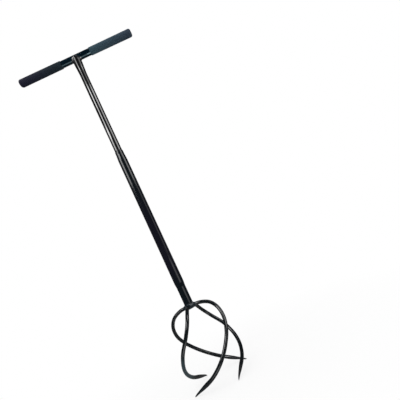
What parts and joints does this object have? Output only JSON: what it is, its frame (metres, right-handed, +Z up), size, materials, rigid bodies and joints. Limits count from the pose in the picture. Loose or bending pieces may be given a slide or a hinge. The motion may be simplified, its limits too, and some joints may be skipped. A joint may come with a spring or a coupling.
{
  "type": "long-handled cultivator",
  "caption": "T-handled hand cultivator with a straight two-tube shaft and a cage of twisted rod tines with forged points, turned by hand to loosen soil.",
  "frame": {"origin": "on the shaft's axis, at the level that the lowest corners of the tine points touch", "axes": "+Z up the shaft to the handle, +X along the crossbar, +Y square to both"},
  "size_m": [0.352, 0.1504, 0.9538],
  "materials": {
    "black_coat": "smooth semi-gloss black powder coat with a faint blue cast",
    "weld_coat": "the same black coat over rippled weld beads",
    "grip_foam": "matte charcoal grip with a fine stippled surface"
  },
  "bodies": {
    "root": {"crossbar": "black_coat", "left_grip": "grip_foam", "right_grip": "grip_foam", "stem_tube": "black_coat", "crossbar_weld": "weld_coat", "main_tube": "black_coat", "mouth_weld": "weld_coat", "crown_weld": "weld_coat", "tine_front_right": "black_coat", "tine_front_left": "black_coat", "tine_rear_left": "black_coat", "tine_rear_right": "black_coat"}
  },
  "joints": []
}
